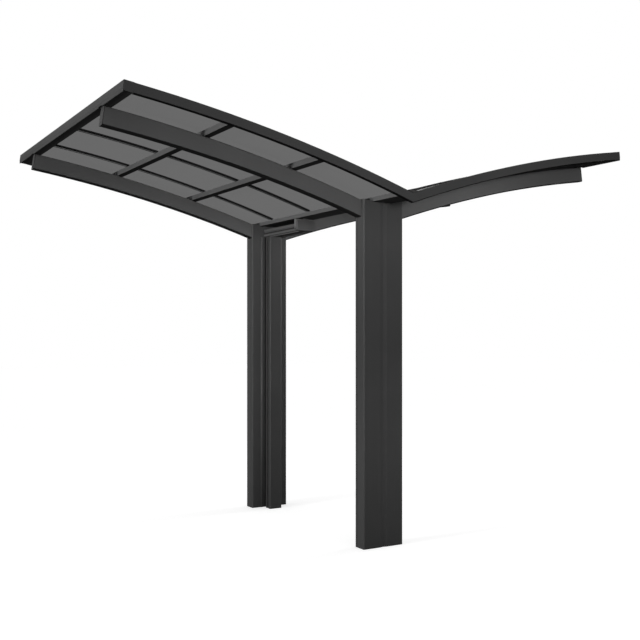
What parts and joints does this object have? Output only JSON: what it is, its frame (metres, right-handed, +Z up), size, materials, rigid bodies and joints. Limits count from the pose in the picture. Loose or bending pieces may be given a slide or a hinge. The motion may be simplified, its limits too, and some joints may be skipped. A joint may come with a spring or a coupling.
{
  "type": "double-wing bicycle carport",
  "caption": "Open bicycle shelter: two posts on the centre line carry curved cantilever arms and a framed roof of two arched wings with a valley gutter.",
  "frame": {"origin": "on the ground, midway between the two posts, under the middle of the roof", "axes": "+Z up, +X across the wings to the right wing, +Y along the valley to the rear post"},
  "size_m": [3.9442, 2.5, 2.8732],
  "materials": {
    "frame_coat": "satin anthracite powder coat",
    "dark_profile": "satin dark powder coat",
    "smoked_sheet": "smoked translucent roof sheet"
  },
  "bodies": {
    "root": {"front_post": "frame_coat", "rear_post": "frame_coat", "front_post_cap": "frame_coat", "rear_post_cap": "frame_coat", "front_left_arm": "frame_coat", "front_right_arm": "frame_coat", "rear_left_arm": "frame_coat", "rear_right_arm": "frame_coat", "front_left_arm_cap": "frame_coat", "front_right_arm_cap": "frame_coat", "rear_left_arm_cap": "frame_coat", "rear_right_arm_cap": "frame_coat", "front_left_fascia": "frame_coat", "front_right_fascia": "frame_coat", "rear_left_fascia": "frame_coat", "rear_right_fascia": "frame_coat", "front_valley_infill": "frame_coat", "rear_valley_infill": "frame_coat", "left_edge_profile": "frame_coat", "right_edge_profile": "frame_coat", "left_edge_caps": "frame_coat", "right_edge_caps": "frame_coat", "left_inner_purlin": "frame_coat", "left_outer_purlin": "frame_coat", "right_inner_purlin": "frame_coat", "right_outer_purlin": "frame_coat", "left_inner_bars": "dark_profile", "left_middle_bars": "dark_profile", "left_outer_bars": "dark_profile", "right_inner_bars": "dark_profile", "right_middle_bars": "dark_profile", "right_outer_bars": "dark_profile", "left_inner_sheet": "smoked_sheet", "left_middle_sheet": "smoked_sheet", "left_outer_sheet": "smoked_sheet", "right_inner_sheet": "smoked_sheet", "right_middle_sheet": "smoked_sheet", "right_outer_sheet": "smoked_sheet", "left_clamp_strips": "frame_coat", "right_clamp_strips": "frame_coat", "valley_gutter": "dark_profile", "drain_outlet": "frame_coat", "drain_run": "frame_coat", "downpipe": "frame_coat"}
  },
  "joints": []
}
